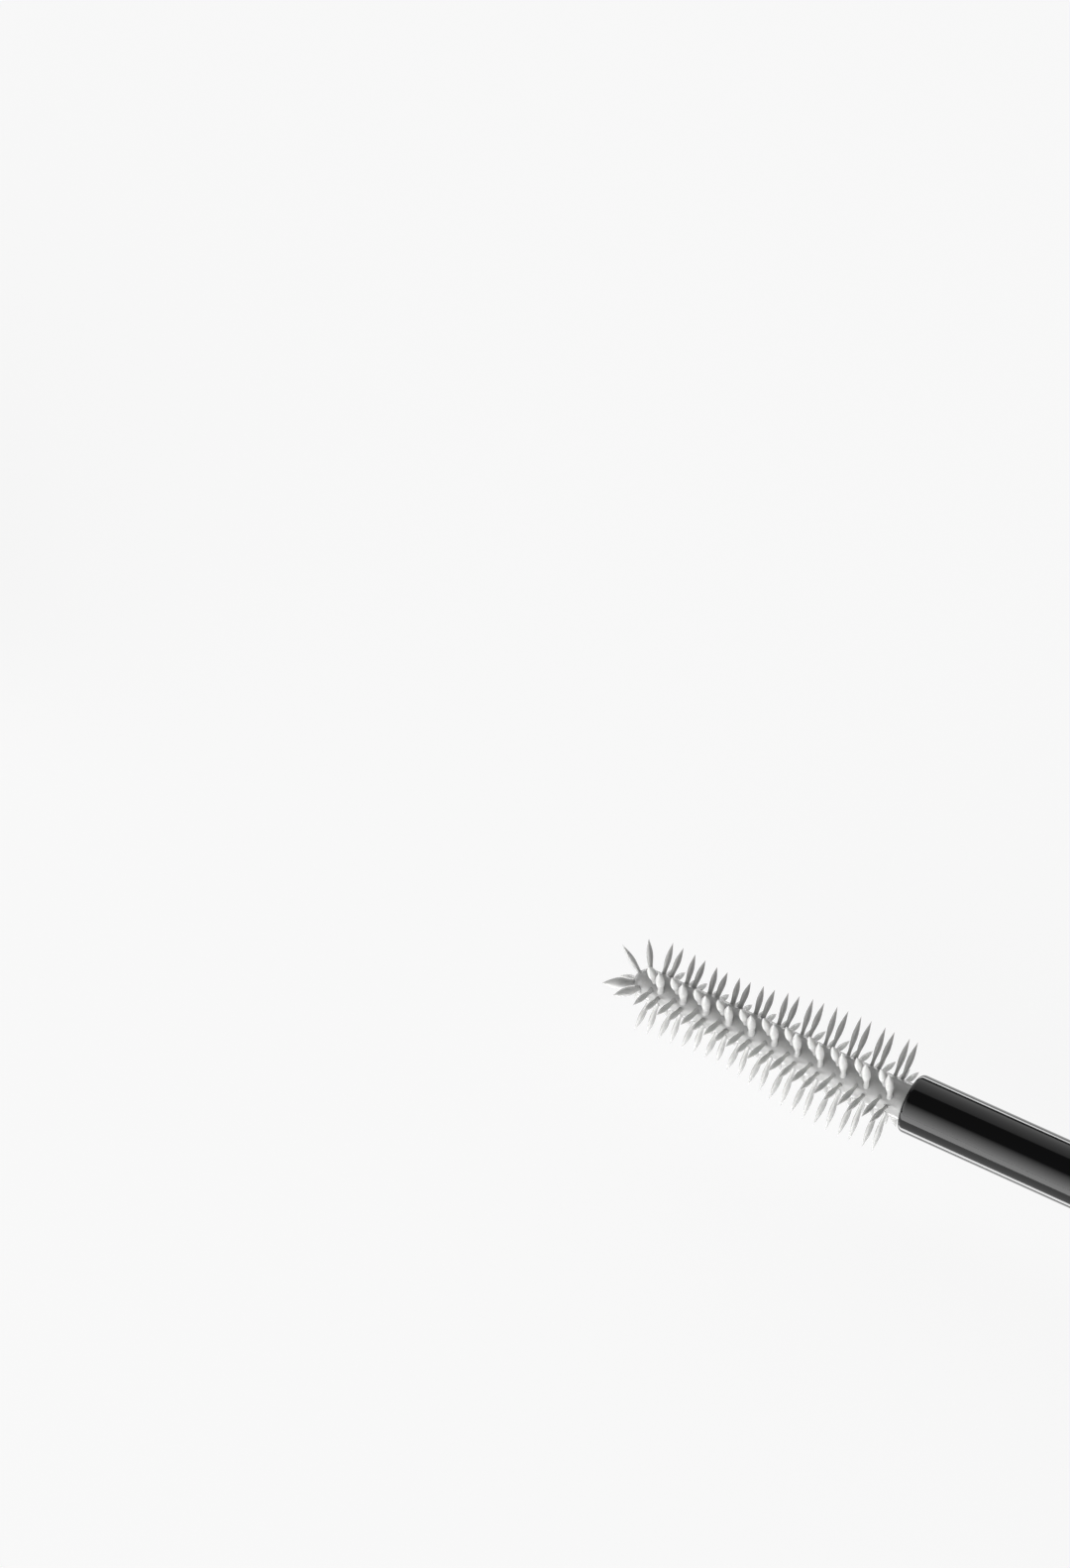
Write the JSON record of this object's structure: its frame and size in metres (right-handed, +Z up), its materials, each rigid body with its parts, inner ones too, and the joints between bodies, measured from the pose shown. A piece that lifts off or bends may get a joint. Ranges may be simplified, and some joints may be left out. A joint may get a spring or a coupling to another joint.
{
  "type": "mascara tube",
  "caption": "Screw-cap mascara tube lying with its wand drawn out, showing a moulded elastomer brush on a glossy stem; the bottle slides on and screws into the cap.",
  "frame": {"origin": "on the table under the middle of the object's whole length, wand drawn out", "axes": "+X along the tube from the bottle's base to the cap's top, +Z up"},
  "size_m": [0.248, 0.0176, 0.0176],
  "materials": {
    "black_gloss": "polished moulded black",
    "silver_trim": "polished anodised",
    "steel_slug": "turned",
    "inner_plastic": "satin moulded black",
    "stem_gloss": "polished moulded black",
    "brush_pin_plastic": "moulded",
    "brush_elastomer": "translucent satin elastomer",
    "seal_foam": "foamed washer",
    "wiper_rubber": "soft moulded",
    "mascara_paste": "wet paste",
    "label_paper": "blank paper"
  },
  "bodies": {
    "wand": {"cap_shell": "black_gloss", "cap_top_disc": "silver_trim", "cap_weight": "steel_slug", "cap_liner": "inner_plastic", "cap_ring": "silver_trim", "stem": "stem_gloss", "brush_pin": "brush_pin_plastic", "brush_head": "brush_elastomer"},
    "seal": {"seal_ring": "seal_foam"},
    "collar": {"collar_ring": "silver_trim"},
    "bottle": {"bottle_sleeve": "black_gloss", "bottle_vial": "inner_plastic", "neck_wiper": "wiper_rubber", "mascara_fill": "mascara_paste", "base_disc": "black_gloss", "base_weight": "steel_slug", "base_label": "label_paper"}
  },
  "joints": [
    {"name": "thread_travel", "type": "slide", "parent": "wand", "child": "seal", "axis": [1, 0, 0], "range_m": [0, 0.0036]},
    {"name": "bottle_pull", "type": "slide", "parent": "seal", "child": "collar", "axis": [1, 0, 0], "range_m": [0, 0.1288], "deforming": ["neck_wiper"]},
    {"name": "cap_turn", "type": "hinge", "parent": "collar", "child": "bottle", "pos_m": [-0.055, 0, 0.0088], "axis": [1, 0, 0], "range_deg": [0, 360]}
  ],
  "couplings": [
    {"joint": "thread_travel", "follows": "cap_turn", "m_per_rad": 0.00057296}
  ]
}
